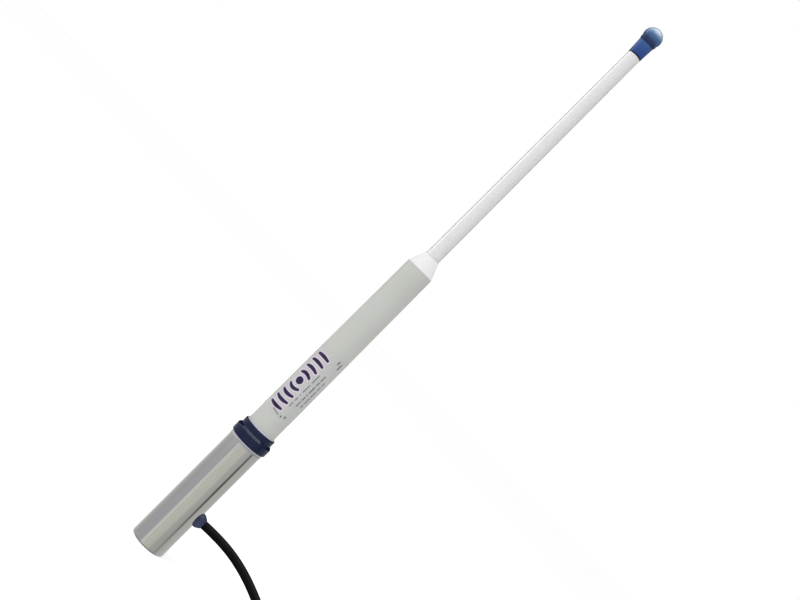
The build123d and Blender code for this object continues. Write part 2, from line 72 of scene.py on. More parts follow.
def latheGrid(radii, heights, turns):
    # row i, column j at radius radii[i, j], angle turns[j] from +X and height heights[i, j]
    radii, heights = np.broadcast_arrays(radii, heights)
    return np.dstack([radii * np.cos(turns), radii * np.sin(turns), heights])


def triangleWave(phase):
    # 0 at whole numbers, 1 half way between them, in straight slopes
    return 1.0 - np.abs(2.0 * (phase % 1.0) - 1.0)


def finishPiece(piece, material, body="antenna"):
    # its material, and the body it rides on
    piece.data.materials.clear()
    piece.data.materials.append(material)
    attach(piece, body)


view = {
    "lens": 56.0,  # mm
    "sensor": 36.0,
    "distance": 0.933,  # m from the whip's axis
    "sideways": 0.0052,
    "height": 0.2624,
    "roll": 45.0,  # degrees
}


def makeCamera():
    # camera axes in the frame: it looks along +Y, and its up is +Z turned by the roll towards -X
    roll = math.radians(view["roll"])
    right = (math.cos(roll), 0.0, math.sin(roll))
    up = (-math.sin(roll), 0.0, math.cos(roll))
    axes = np.eye(4)
    axes[:3, 0], axes[:3, 1], axes[:3, 2] = right, up, (0.0, -1.0, 0.0)
    axes[:3, 3] = (view["sideways"], -view["distance"], view["height"])
    data = bpy.data.cameras.new("camera")
    data.lens = view["lens"]
    data.sensor_width = view["sensor"]
    data.clip_start, data.clip_end = 0.01, 50.0
    camera = bpy.data.objects.new("camera", data)
    camera.matrix_world = Matrix(axes.tolist())
    bpy.context.scene.collection.objects.link(camera)
    bpy.context.scene.camera = camera


makeCamera()
print("camera placed")


def newMaterial(name, values):
    # a Principled shader whose plain values stand on its own sockets
    material = bpy.data.materials.new(name)
    material.use_nodes = True
    surface = material.node_tree.nodes["Principled BSDF"]
    for socket, value in values.items():
        surface.inputs[socket].default_value = value
    return material, material.node_tree, surface


def objectPoints(tree, scale=(1.0, 1.0, 1.0)):
    # places in metres on the piece. A scale under 1 draws a pattern out along that axis.
    place = tree.nodes.new("ShaderNodeTexCoord")
    mapping = tree.nodes.new("ShaderNodeMapping")
    mapping.inputs["Scale"].default_value = scale
    tree.links.new(place.outputs["Object"], mapping.inputs["Vector"])
    return mapping.outputs["Vector"]


def noise(tree, points, scale, detail=3.0, roughness=0.5):
    node = tree.nodes.new("ShaderNodeTexNoise")
    node.inputs["Scale"].default_value = scale
    node.inputs["Detail"].default_value = detail
    node.inputs["Roughness"].default_value = roughness
    tree.links.new(points, node.inputs["Vector"])
    return node.outputs["Fac"]


def ramp(tree, factor, stops):
    node = tree.nodes.new("ShaderNodeValToRGB")
    steps = node.color_ramp.elements
    while len(steps) < len(stops):
        steps.new(1.0)
    for step, (place, colour) in zip(steps, stops):
        step.position = place
        step.color = (*colour, 1.0)
    tree.links.new(factor, node.inputs["Fac"])
    return node.outputs["Color"]


def spread(tree, factor, low, high):
    # the factor 0..1 carried to low..high
    node = tree.nodes.new("ShaderNodeMapRange")
    node.inputs["To Min"].default_value = low
    node.inputs["To Max"].default_value = high
    tree.links.new(factor, node.inputs["Value"])
    return node.outputs["Result"]


def band(tree, value, start, end):
    # 0 at start, 1 at end, held outside them
    node = tree.nodes.new("ShaderNodeMapRange")
    node.inputs["From Min"].default_value = start
    node.inputs["From Max"].default_value = end
    tree.links.new(value, node.inputs["Value"])
    return node.outputs["Result"]


def bump(tree, surface, height, depth, strength):
    # the height, in units of depth metres, tilts the surface's normal
    node = tree.nodes.new("ShaderNodeBump")
    node.inputs["Strength"].default_value = strength
    node.inputs["Distance"].default_value = depth
    tree.links.new(height, node.inputs["Height"])
    tree.links.new(node.outputs["Normal"], surface.inputs["Normal"])


def makeCoaxJacket():
    material, tree, surface = newMaterial("coaxJacket", {"Roughness": 0.5, "Specular IOR Level": 0.12})
    points = objectPoints(tree)
    tone = noise(tree, points, 90.0, 4.0)
    tree.links.new(ramp(tree, tone, [(0.3, (0.0012, 0.0012, 0.0015)), (0.75, (0.0040, 0.0040, 0.0043))]),
                   surface.inputs["Base Color"])
    tree.links.new(spread(tree, noise(tree, points, 240.0), 0.44, 0.60), surface.inputs["Roughness"])
    bump(tree, surface, noise(tree, points, 1800.0, 2.0), 0.00006, 0.5)
    return material


coax = {
    "diameter": 0.007,
    "length": 5.0,
    "lead": [
        (0.0360, 0.0, 0.0399),
        (0.0580, -0.0020, 0.0378),
        (0.0795, -0.0075, 0.0324),
        (0.0995, -0.0155, 0.0246),
        (0.1190, -0.0245, 0.0136),
        (0.1400, -0.0325, 0.0050),
        (0.1580, -0.0350, 0.0036),
    ],
    "tail": [
        (0.1600, -0.0235, 0.0332),
        (0.1720, -0.0215, 0.0380),
        (0.1860, -0.0155, 0.0430),
    ],
    "layers": 5,
    "columns": 3,
    "innerFold": 0.021,
    "lobeOffset": 0.0315,
    "waistPinch": 0.0100,
    "squeeze": 0.0012,  # how much the tie draws the waist in
    "handOver": (0.42, 0.2, 0.0),  # how far each run has moved to the next turn, from the waist outwards
    "unevenness": (0.0004, 0.0002, 0.00008),  # how far a loop strays each way
    "intoGland": 0.002,
    "leftOut": 4,  # points of the last turn that the tail stands in for
}


def hankPoints(centreX):
    # each turn is two half circles of fold radius r, joined by runs through a pinched waist. Round a fold,
    # the spline's points stand at r / cos 15 degrees, so the line touches the circle between them. A run has
    # three points between the waist and a fold, on an S, and it moves to the next turn on its way.
    size, half = coax["diameter"], coax["lobeOffset"]
    count = coax["layers"] * coax["columns"]
    layer, step = np.divmod(np.arange(count), coax["columns"])
    column = np.where(layer % 2 == 0, step, coax["columns"] - 1 - step)  # 0 is the outermost
    folds = coax["innerFold"] + (coax["columns"] - 1 - column) * size
    heights = (layer + 0.5) * size
    middle = coax["layers"] * size / 2
    foldAngles = np.radians(np.arange(-75.0, 76.0, 30.0))
    cornerGain = 1.0 / math.cos(math.radians(15.0))
    reach = coax["innerFold"] * math.tan(math.radians(15.0))
    along = np.array([reach, half / 2, half - reach])
    dip = np.array([1.0, 0.5, 0.0])
    settled = np.array([0.0, 0.5] + [1.0] * 8 + [0.5, 0.0])[:, None]  # the waist stays put

    def run(turn, other):
        moved = np.array(coax["handOver"])
        offset = folds[turn] + moved * (folds[other] - folds[turn])
        offset -= dip * (coax["waistPinch"] + coax["squeeze"])
        height = heights[turn] + moved * (heights[other] - heights[turn])
        height += dip * (middle - height) * coax["squeeze"] / middle
        return np.column_stack([along, offset, height])

    loops = []
    for turn in range(count):
        before, after = max(turn - 1, 0), min(turn + 1, count - 1)
        corner = folds[turn] * cornerGain
        arc = np.column_stack([
            half + corner * np.cos(foldAngles),
            corner * np.sin(foldAngles),
            np.full(len(foldAngles), heights[turn]),
        ])
        for side, previous, following in ((1, before, turn), (-1, turn, after)):
            loop = np.concatenate([run(turn, previous) * (1.0, -1.0, 1.0), arc, run(turn, following)[::-1]])
            loop += random.uniform(-1.0, 1.0, 3) * coax["unevenness"] * settled
            loops.append(loop * (side, side, 1.0) + (centreX, 0.0, 0.0))
    return np.concatenate(loops)


def makeCoax():
    # the spline's points: out of the gland, down the lead, round the hank, up the tail and into the plug
    glandLow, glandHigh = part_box("cable_gland")
    hankLow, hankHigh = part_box("coax_hank")
    bodyLow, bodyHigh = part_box("plug_body")
    start = (glandHigh.x - coax["intoGland"], 0.0, (glandLow.z + glandHigh.z) / 2)
    plugY, plugZ = (bodyLow.y + bodyHigh.y) / 2, (bodyLow.z + bodyHigh.z) / 2
    lastRun = bodyLow.x - coax["tail"][-1][0]
    ends = [(bodyLow.x - lastRun / 2, plugY, plugZ), (bodyLow.x, plugY, plugZ)]
    hank = hankPoints((hankLow.x + hankHigh.x) / 2)[:-coax["leftOut"]]
    route = np.concatenate([[start], coax["lead"], hank, coax["tail"], ends])

    data = bpy.data.curves.new("coax", "CURVE")
    data.dimensions = "3D"
    spline = data.splines.new("NURBS")
    spline.points.add(len(route) - 1)
    spline.points.foreach_set("co", np.column_stack([route, np.ones(len(route))]).ravel())
    spline.order_u = 3
    spline.use_endpoint_u = True
    spline.resolution_u = 6
    data.bevel_depth = coax["diameter"] / 2
    data.bevel_resolution = 6
    data.use_fill_caps = True
    piece = bpy.data.objects.new("coax", data)
    bpy.context.scene.collection.objects.link(piece)
    finishPiece(piece, makeCoaxJacket())
    piece.visible_glossy = False
    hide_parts("coax_lead", "coax_hank", "coax_tail")
    print("coax made:", len(route), "points")


makeCoax()


def makeSteel():
    # polished steel drawn along the tube: fine streaks that run with Z
    material, tree, surface = newMaterial("polishedSteel", {"Metallic": 1.0, "Roughness": 0.11})
    streakPoints = objectPoints(tree, (1.0, 1.0, 0.012))
    streaks = noise(tree, streakPoints, 2600.0, 3.0, 0.6)
    tree.links.new(ramp(tree, streaks, [(0.25, (0.70, 0.70, 0.685)), (0.8, (0.80, 0.80, 0.785))]),
                   surface.inputs["Base Color"])
    # the turned rim at the top is left satin
    split = tree.nodes.new("ShaderNodeSeparateXYZ")
    tree.links.new(objectPoints(tree), split.inputs["Vector"])
    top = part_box("ferrule")[1].z
    satin = tree.nodes.new("ShaderNodeMath")
    satin.operation = "MULTIPLY_ADD"
    satin.inputs[1].default_value = 0.5
    tree.links.new(band(tree, split.outputs["Z"], top - 0.0012, top - 0.0006), satin.inputs[0])
    tree.links.new(spread(tree, noise(tree, objectPoints(tree), 60.0), 0.07, 0.14), satin.inputs[2])
    tree.links.new(satin.outputs[0], surface.inputs["Roughness"])
    bump(tree, surface, streaks, 0.000004, 0.5)
    return material


def makeRadome(name, dark, light, gloss, grain, coatIor=1.5):
    # lacquered glass fibre: faint crossed weave under the lacquer, cloudy tone
    material, tree, surface = newMaterial(name, {
        "Roughness": 0.35,
        "Coat Weight": gloss,
        "Coat Roughness": 0.08,
        "Coat IOR": coatIor,
        "Specular IOR Level": 0.3,
    })
    points = objectPoints(tree)
    cloud = noise(tree, points, 24.0, 3.0, 0.5)
    tree.links.new(ramp(tree, cloud, [(0.3, dark), (0.72, light)]), surface.inputs["Base Color"])
    tree.links.new(spread(tree, cloud, 0.30, 0.36), surface.inputs["Roughness"])
    bump(tree, surface, noise(tree, objectPoints(tree, (1.0, 1.0, 0.25)), 700.0, 2.0), grain, 0.35)
    return material


def makeMoulded(name, dark, light, roughness, coat=0.15, grain=1500.0, depth=0.00002, specular=0.5):
    material, tree, surface = newMaterial(name, {
        "Roughness": roughness,
        "Coat Weight": coat,
        "Coat Roughness": 0.15,
        "Specular IOR Level": specular,
    })
    points = objectPoints(tree)
    tone = noise(tree, points, 120.0, 4.0)
    tree.links.new(ramp(tree, tone, [(0.3, dark), (0.75, light)]), surface.inputs["Base Color"])
    tree.links.new(spread(tree, noise(tree, points, 260.0), 0.85 * roughness, 1.2 * roughness),
                   surface.inputs["Roughness"])
    bump(tree, surface, noise(tree, points, grain, 2.0), depth, 0.5)
    return material


def makeMetal(name, dark, light, roughness, stretch=(1.0, 1.0, 1.0), grain=1600.0):
    material, tree, surface = newMaterial(name, {"Metallic": 1.0, "Roughness": roughness})
    marks = noise(tree, objectPoints(tree, stretch), grain, 3.0, 0.6)
    tree.links.new(ramp(tree, marks, [(0.25, dark), (0.8, light)]), surface.inputs["Base Color"])
    tree.links.new(spread(tree, marks, 0.8 * roughness, 1.25 * roughness), surface.inputs["Roughness"])
    bump(tree, surface, marks, 0.00001, 0.5)
    return material


def makeTipBlue(name, levels, roughness, coat):
    # moulded blue plastic whose colour changes with height up the tip, in metres; the levels paint shade and
    # light into it
    material, tree, surface = newMaterial(name, {
        "Roughness": roughness,
        "Coat Weight": coat,
        "Coat Roughness": 0.06,
        "Specular IOR Level": 0.3,
    })
    points = objectPoints(tree)
    split = tree.nodes.new("ShaderNodeSeparateXYZ")
    tree.links.new(points, split.inputs["Vector"])
    blotchReach = 0.0012  # how far the cloudy tone moves the levels
    blotch = tree.nodes.new("ShaderNodeMath")
    blotch.operation = "MULTIPLY_ADD"
    blotch.inputs[1].default_value = blotchReach
    tree.links.new(noise(tree, points, 260.0, 3.0), blotch.inputs[0])
    tree.links.new(split.outputs["Z"], blotch.inputs[2])
    bottom, top = levels[0][0], levels[-1][0]
    share = band(tree, blotch.outputs[0], bottom + blotchReach / 2, top + blotchReach / 2)
    stops = [((height - bottom) / (top - bottom), colour) for height, colour in levels]
    tree.links.new(ramp(tree, share, stops), surface.inputs["Base Color"])
    tree.links.new(spread(tree, noise(tree, points, 420.0), 0.8 * roughness, 1.3 * roughness),
                   surface.inputs["Roughness"])
    bump(tree, surface, noise(tree, points, 900.0, 2.0), 0.00002, 0.4)
    return material


def capShadedLevels():
    # (height, colour) up the cap, darkest in its lower edge and in the crease where the cup begins: painted
    # shade at both
    low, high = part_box("tip_cap")
    crease = high.z - 0.0029
    return [
        (low.z, (0.003, 0.009, 0.045)),
        (low.z + 0.0008, (0.004, 0.012, 0.060)),
        (low.z + 0.0016, (0.020, 0.058, 0.225)),
        (low.z + 0.0050, (0.024, 0.070, 0.250)),
        (crease - 0.0010, (0.036, 0.098, 0.290)),
        (crease, (0.003, 0.012, 0.062)),
        (high.z, (0.010, 0.034, 0.120)),
    ]


def ballShadedAndLitLevels():
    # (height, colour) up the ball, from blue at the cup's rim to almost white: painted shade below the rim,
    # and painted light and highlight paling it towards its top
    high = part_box("tip_ball")[1]
    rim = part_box("tip_cap")[1].z
    return [
        (rim - 0.0010, (0.009, 0.030, 0.110)),
        (rim + 0.0012, (0.019, 0.056, 0.175)),
        (rim + 0.0040, (0.050, 0.122, 0.270)),
        (rim + 0.0064, (0.210, 0.320, 0.520)),
        (rim + 0.0086, (0.520, 0.620, 0.720)),
        (high.z, (0.720, 0.780, 0.810)),
    ]


finishes = {
    "polished_steel": makeSteel(),
    "bush_brass": makeMetal("machinedBrass", (0.52, 0.36, 0.14), (0.66, 0.48, 0.22), 0.25, (1.0, 1.0, 6.0)),
    "nylon_white": makeMoulded("naturalNylon", (0.80, 0.80, 0.79), (0.86, 0.86, 0.85), 0.4, 0.3),
    "gland_rubber": makeMoulded("glandRubber", (0.020, 0.026, 0.075), (0.045, 0.055, 0.140), 0.45, 0.0),
    "dielectric": makeMoulded("foamDielectric", (0.74, 0.74, 0.72), (0.84, 0.84, 0.82), 0.55),
    "board": makeMoulded("solderMask", (0.010, 0.075, 0.028), (0.016, 0.105, 0.040), 0.3),
    "copper": makeMetal("bareCopper", (0.62, 0.28, 0.16), (0.78, 0.40, 0.26), 0.28, (1.0, 1.0, 0.1)),
    "capacitor": makeMoulded("glazedCeramic", (0.42, 0.20, 0.04), (0.52, 0.27, 0.07), 0.2),
    "sealant": makeMoulded("paleSilicone", (0.50, 0.50, 0.56), (0.60, 0.60, 0.67), 0.35),
    "navy_plastic": makeMoulded("navyPlastic", (0.0030, 0.0080, 0.036), (0.0055, 0.0125, 0.050), 0.13, 0.0,
                                depth=0.000004, specular=0.34),
    "radome_grey": makeRadome("radomeGrey", (0.530, 0.540, 0.505), (0.565, 0.575, 0.545), 0.2, 0.00001),
    "radome_white": makeRadome("radomeWhite", (0.79, 0.795, 0.79), (0.81, 0.815, 0.81), 1.0, 5e-7, 2.3),
    # the cap's levels paint shade into its lower edge and its crease
    "blue_plastic": makeTipBlue("bluePlastic", capShadedLevels(), 0.3, 0.25),
    # the ball's levels paint shade below the cup's rim and light and highlight on its top
    "blue_acrylic": makeTipBlue("blueAcrylic", ballShadedAndLitLevels(), 0.12, 0.7),
    "label": makeMoulded("labelFilm", (0.530, 0.542, 0.520), (0.558, 0.570, 0.552), 0.32, 0.2, 500.0,
                         0.000005, 0.3),
    "foam": makeMoulded("spacerFoam", (0.78, 0.77, 0.70), (0.88, 0.87, 0.82), 0.8, 0.0, 900.0, 0.0002),
    "tie_fabric": makeMoulded("wovenTie", (0.010, 0.010, 0.012), (0.025, 0.025, 0.028), 0.8, 0.0, 2400.0,
                              0.0002),
    "heat_shrink": makeMoulded("heatShrink", (0.006, 0.006, 0.007), (0.012, 0.012, 0.013), 0.5),
    "plug_plate": makeMetal("nickelPlate", (0.60, 0.585, 0.55), (0.72, 0.705, 0.67), 0.22, (0.1, 1.0, 1.0)),
    "plug_insulation": makeMoulded("fluoropolymer", (0.72, 0.70, 0.64), (0.82, 0.80, 0.75), 0.45),
    "plug_gold": makeMetal("goldContact", (0.70, 0.48, 0.16), (0.83, 0.60, 0.25), 0.2, (0.1, 1.0, 1.0)),
}


def keepOutOfReflections(*names):
    for name in names:
        frame["nodes"][name].visible_glossy = False


# the reducer's shoulder is left unlacquered
ownFinishes = {
    "tube_reducer": makeMoulded("unlacqueredWhite", (0.86, 0.86, 0.86), (0.90, 0.90, 0.90), 0.75, 0.0,
                                400.0, 0.00001, 0.15),
}


def paintNodes():
    for entry in frame["record"]["subparts"]:
        material = ownFinishes.get(entry["node"], finishes.get(entry["material_slot"]))
        node = frame["nodes"][entry["node"]]
        if material is None:
            continue
        if not node.material_slots:
            node.data.materials.append(material)
        for place in node.material_slots:
            place.material = material


paintNodes()
keepOutOfReflections("hank_tie", "plug_boot", "plug_body", "plug_insulator", "plug_pin", "coupling_nut")
print("finishes given to", len(frame["nodes"]), "nodes")


labelPrint = {
    "lift": 0.00003,  # from the film to the underside of the ink
    "inkDepth": 0.00002,
    "haloMargin": 0.0009,
    "columns": 7,  # points across a stroke
    "markHeight": 0.1678,
    "markTurn": -25.5,  # degrees from the front towards +X
    "waves": (0.0072, 0.0132, 0.0192, 0.0252),
    "waveReach": (0.0050, 0.0058, 0.0062, 0.0060),  # half the width of each wave
    "waveStroke": 0.0029,
    "waveTaper": 0.38,  # share of its width that a wave loses towards its ends
    "dotRadius": 0.0031,
    "ruleTurn": 13.0,
    "rule": ((0.1490, 0.1532), (0.1548, 0.1582), (0.1600, 0.1612), (0.1630, 0.1708), (0.1726, 0.1808)),
    "ruleStroke": 0.0008,
    "textTurns": (31.0, 49.0),
    "textStroke": 0.0010,
    "textRows": (
        (
            (0.1520, 0.1572),
            (0.1582, 0.1618),
            (0.1630, 0.1644),
            (0.1656, 0.1722),
            (0.1734, 0.1768),
            (0.1780, 0.1832),
        ),
        (
            (0.1532, 0.1560),
            (0.1574, 0.1630),
            (0.1642, 0.1698),
            (0.1710, 0.1746),
            (0.1758, 0.1790),
        ),
    ),
    "cornerMarks": (  # turn, start, length
        (31.0, 0.1955, 0.0030),
        (46.0, 0.1925, 0.0052),
        (17.0, 0.1382, 0.0016),
        (31.0, 0.1392, 0.0022),
    ),
    "cornerStroke": 0.0013,
    "footLine": (-22.0, 6.0, 0.1400),  # from turn, to turn, height
    "footDrop": 0.0012,
}


def filmRadius(height):
    # the tube narrows evenly from the collar to the reducer, and the film lies on it
    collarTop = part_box("collar")[1].z
    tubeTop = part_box("lower_tube")[1].z
    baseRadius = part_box("lower_tube")[1].x
    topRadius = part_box("tube_reducer")[1].x
    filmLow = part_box("label_film")[0]
    slope = (topRadius - baseRadius) / (tubeTop - collarTop)
    filmDepth = -filmLow.y - (baseRadius + slope * (filmLow.z - collarTop))
    return baseRadius + slope * (height - collarTop) + filmDepth


def inkSlab(name, strokes, layer, margin, material):
    # each stroke is a middle line (height, arc length round the tube) with a half width. At each place along
    # the line, the slab has a row of points across its top and one across its underside, square to the line.
    count = labelPrint["columns"]
    across = np.linspace(-1.0, 1.0, count)
    lower = labelPrint["lift"] + layer * labelPrint["inkDepth"]
    lifts = np.concatenate([np.full(count, lower + labelPrint["inkDepth"]), np.full(count, lower)])
    sides = np.concatenate([across, across[::-1]])
    points, quads, first = [], [], 0
    for heights, arcs, halves in strokes:
        run = np.gradient(np.stack([heights, arcs]), axis=1)
        run /= np.linalg.norm(run, axis=0)
        reach = (halves + margin)[:, None] * sides
        heights = heights + np.linspace(-1.0, 1.0, len(heights)) * margin * run[0]
        arcs = arcs + np.linspace(-1.0, 1.0, len(arcs)) * margin * run[1]
        z = heights[:, None] - run[1][:, None] * reach
        radius = filmRadius(z) + lifts
        turn = (arcs[:, None] + run[0][:, None] * reach) / filmRadius(labelPrint["markHeight"])
        grid = np.dstack([radius * np.sin(turn), -radius * np.cos(turn), z])
        index = first + np.arange(grid.shape[0] * 2 * count).reshape(grid.shape[0], 2 * count)
        ring = np.concatenate([index, index[:, :1]], axis=1)
        walls = np.stack([ring[:-1, :-1], ring[:-1, 1:], ring[1:, 1:], ring[1:, :-1]], axis=-1)
        top, under = index[:, :count], index[:, count:][:, ::-1]
        start = np.stack([top[0, :-1], under[0, :-1], under[0, 1:], top[0, 1:]], axis=-1)
        end = np.stack([top[-1, :-1], top[-1, 1:], under[-1, 1:], under[-1, :-1]], axis=-1)
        points.append(grid.reshape(-1, 3))
        quads += [walls.reshape(-1, 4), start, end]
        first += grid.shape[0] * 2 * count
    mesh = bpy.data.meshes.new(name)
    mesh.from_pydata(np.concatenate(points).tolist(), [], np.concatenate(quads)[:, ::-1].tolist())
    mesh.update()
    piece = bpy.data.objects.new(name, mesh)
    bpy.context.scene.collection.objects.link(piece)
    finishPiece(piece, material)


def alongTube(start, end, turn, stroke):
    # a straight stroke up the tube: heights from start to end at one turn, all of one width
    heights = np.linspace(start, end, 6)
    arcs = np.full(6, math.radians(turn) * filmRadius(labelPrint["markHeight"]))
    return heights, arcs, np.full(6, stroke / 2)


def makeLabelPrint():
    # radio waves that spread both ways along the whip from a dot: plain arcs about one centre
    middle = labelPrint["markHeight"]
    centreArc = math.radians(labelPrint["markTurn"]) * filmRadius(middle)
    mark = []
    for radius, reach in zip(labelPrint["waves"], labelPrint["waveReach"]):
        half = math.asin(reach / radius)
        for side in (1, -1):
            angles = np.linspace(-half, half, 25) * side
            thinning = labelPrint["waveTaper"] * (1.0 - np.cos(angles / half * math.pi / 2))
            widths = 0.5 * labelPrint["waveStroke"] * (1.0 - thinning)
            heights = middle + side * radius * np.cos(angles)
            mark.append((heights, centreArc + radius * np.sin(angles), widths))
    dot = labelPrint["dotRadius"]
    steps = np.linspace(-0.985, 0.985, 33)
    mark.append((middle + dot * steps, np.full(33, centreArc), dot * np.sqrt(1.0 - steps**2)))
    grey = []
    for start, end in labelPrint["rule"]:
        grey.append(alongTube(start, end, labelPrint["ruleTurn"], labelPrint["ruleStroke"]))
    for turn, row in zip(labelPrint["textTurns"], labelPrint["textRows"]):
        grey += [alongTube(start, end, turn, labelPrint["textStroke"]) for start, end in row]
    for turn, start, length in labelPrint["cornerMarks"]:
        grey.append(alongTube(start, start + length, turn, labelPrint["cornerStroke"]))
    fromTurn, toTurn, height = labelPrint["footLine"]
    arcs = np.radians(np.linspace(fromTurn, toTurn, 9)) * filmRadius(middle)
    heights = np.linspace(height, height - labelPrint["footDrop"], 9)
    grey.append((heights, arcs, np.full(9, labelPrint["ruleStroke"] / 2)))
    ink = makeMoulded("purpleInk", (0.012, 0.005, 0.045), (0.030, 0.010, 0.085), 0.4, 0.0)
    pale = makeMoulded("paleInk", (0.66, 0.56, 0.68), (0.72, 0.64, 0.74), 0.35, 0.1)
    greyInk = makeMoulded("greyInk", (0.16, 0.16, 0.19), (0.24, 0.24, 0.27), 0.4, 0.0)
    inkSlab("label_wave_halo", mark, 0, labelPrint["haloMargin"], pale)
    inkSlab("label_waves", mark, 1, 0.0, ink)
    inkSlab("label_fine_print", grey, 0, 0.0, greyInk)


makeLabelPrint()
print("label printed")


bushThread = {
    "pitch": 0.0254 / 14,
    "depth": 0.00075,
    "rowsPerTurn": 8,
    "columns": 144,
    "leadIn": 0.0008,
    "topEdge": 0.0006,
    "chamfer": 0.0002,
}


def makeThreadBush():
    # a lathe profile: up the threaded bore, out over the top, down the outside and back along the mouth. The
    # bore's radius swings out by the thread's depth, once a pitch in height and once a turn, so the ridge
    # climbs round.
    low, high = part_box("thread_bush")
    minor = frame["record"]["mounts"][0]["dims"]["r_mm"] / 1000
    outer = high.x
    leadIn, chamfer = bushThread["leadIn"], bushThread["chamfer"]
    turns = np.linspace(0.0, 2 * math.pi, bushThread["columns"], endpoint=False)
    rows = int((high.z - low.z) / bushThread["pitch"] * bushThread["rowsPerTurn"])
    z = np.linspace(low.z, high.z, rows)[:, None]
    wave = triangleWave(z / bushThread["pitch"] - turns / (2 * math.pi))
    fade = np.clip((z - low.z) / leadIn, 0.0, 1.0) * np.clip((high.z - z) / leadIn, 0.0, 1.0)
    flare = leadIn * np.clip(1.0 - (z - low.z) / leadIn, 0.0, 1.0)
    bore = minor + bushThread["depth"] * wave * fade + flare
    shell = [[minor + bushThread["topEdge"]], [outer - chamfer], [outer], [outer], [outer - chamfer]]
    shellZ = [[high.z], [high.z], [high.z - chamfer], [low.z + chamfer], [low.z]]
    radii = np.concatenate([bore, np.repeat(shell, len(turns), axis=1)])
    grid = latheGrid(radii, np.concatenate([z, shellZ]), turns)
    piece = shellMesh("threaded_bush", grid[::-1], closeAround=True, closeAlong=True)
    finishPiece(piece, finishes["bush_brass"])
    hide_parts("thread_bush")


nutShape = {
    "knurls": 44,
    "knurlPitch": 0.00125,
    "knurlDepth": 0.00032,
    "knurlSpan": (0.0030, 0.0155),  # from the nut's rear face
    "grooveFlank": 2.2,  # how steeply a groove falls away from the flat between two
    "threadPitch": 0.0254 / 24,
    "threadDepth": 0.00045,
    "wall": 0.0018,
    "chamfer": 0.0011,
    "mouthChamfer": 0.0006,
    "lipWall": 0.0020,
    "lipInset": 0.0005,  # the lip's bore, inside the plug's flange
    "boreRelief": 0.0004,
    "columns": 264,
    "outsideRows": 90,
    "boreRows": 110,
}


def makeCouplingNut():
    # a lathe profile about the plug's axis: radius r(x, turn). Outside, two sets of slanting grooves cross
    # and the deeper one counts; in the bore a triangular ridge climbs one pitch a turn; the rear lip closes
    # in on the barrel.
    low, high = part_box("coupling_nut")
    axisY, axisZ = (low.y + high.y) / 2, (low.z + high.z) / 2
    outer = (high.z - low.z) / 2
    bore = outer - nutShape["wall"]
    rim = outer - nutShape["chamfer"]
    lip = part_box("plug_body")[1].z - axisZ - nutShape["lipInset"]
    lipX = low.x + nutShape["lipWall"]
    columns = nutShape["columns"]
    turns = np.linspace(0.0, 2 * math.pi, columns, endpoint=False)
    firstX, lastX = low.x + nutShape["chamfer"], high.x - nutShape["chamfer"]
    outX = np.linspace(firstX, lastX, nutShape["outsideRows"])[:, None]
    share = nutShape["knurls"] * turns / (2 * math.pi)
    slant = (outX - low.x) / (2 * nutShape["knurlPitch"])
    nearest = np.minimum(triangleWave(share + slant), triangleWave(share - slant))
    grooves = 1.0 - nutShape["grooveFlank"] * nearest
    start, end = nutShape["knurlSpan"]
    knurled = (outX > low.x + start) & (outX < low.x + end)
    outside = outer - nutShape["knurlDepth"] * np.clip(grooves, 0.0, 1.0) * knurled
    firstX, lastX = high.x - nutShape["mouthChamfer"], lipX + nutShape["boreRelief"]
    boreX = np.linspace(firstX, lastX, nutShape["boreRows"])[:, None]
    ridge = triangleWave(boreX / nutShape["threadPitch"] - turns / (2 * math.pi))
    inside = bore + nutShape["threadDepth"] * ridge
    profile = [
        (low.x, rim),
        (outX, outside),
        (high.x, rim),
        (high.x, bore + nutShape["mouthChamfer"]),
        (boreX, inside),
        (lipX, bore),
        (lipX, lip),
        (low.x, lip),
    ]
    along = np.concatenate([np.broadcast_to(x, (np.size(x), columns)) for x, _ in profile])
    radii = np.concatenate([np.broadcast_to(radius, (np.size(x), columns)) for x, radius in profile])
    grid = np.dstack([along, axisY + radii * np.cos(turns), axisZ + radii * np.sin(turns)])
    piece = shellMesh("knurled_nut", grid, closeAround=True, closeAlong=True)
    finishPiece(piece, finishes["plug_plate"], "nut")
    piece.visible_glossy = False
    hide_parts("coupling_nut")


makeThreadBush()
makeCouplingNut()
print("threads and knurl cut")


strap = {
    "thickness": 0.0012,
    "overlap": 0.030,  # how far the loose end runs on over its own start
    "climb": 0.006,  # the stretch in which it rises onto it
    "gap": 0.00005,
    "cornerRadius": 0.0050,
    "edgeRadius": 0.00035,
    "stations": 240,
    "threadPitch": 0.0007,
}


def makeWebbing():
    # woven tape: ribs along and across, one thread apart, on the band's own map
    material, tree, surface = newMaterial("wovenWebbing", {"Roughness": 0.8, "Specular IOR Level": 0.2})
    place = tree.nodes.new("ShaderNodeUVMap")
    place.uv_map = "along"
    ribs = []
    for direction in ("X", "Y"):
        wave = tree.nodes.new("ShaderNodeTexWave")
        wave.bands_direction = direction
        wave.inputs["Scale"].default_value = math.pi / (10.0 * strap["threadPitch"])
        tree.links.new(place.outputs["UV"], wave.inputs["Vector"])
        ribs.append(wave.outputs["Fac"])
    weave = tree.nodes.new("ShaderNodeMath")
    weave.operation = "MULTIPLY"
    tree.links.new(ribs[0], weave.inputs[0])
    tree.links.new(ribs[1], weave.inputs[1])
    tones = [(0.0, (0.006, 0.006, 0.007)), (1.0, (0.030, 0.030, 0.033))]
    tree.links.new(ramp(tree, weave.outputs[0], tones), surface.inputs["Base Color"])
    dust = noise(tree, objectPoints(tree), 500.0)
    tree.links.new(spread(tree, dust, 0.7, 0.9), surface.inputs["Roughness"])
    bump(tree, surface, weave.outputs[0], 0.00015, 0.8)
    return material


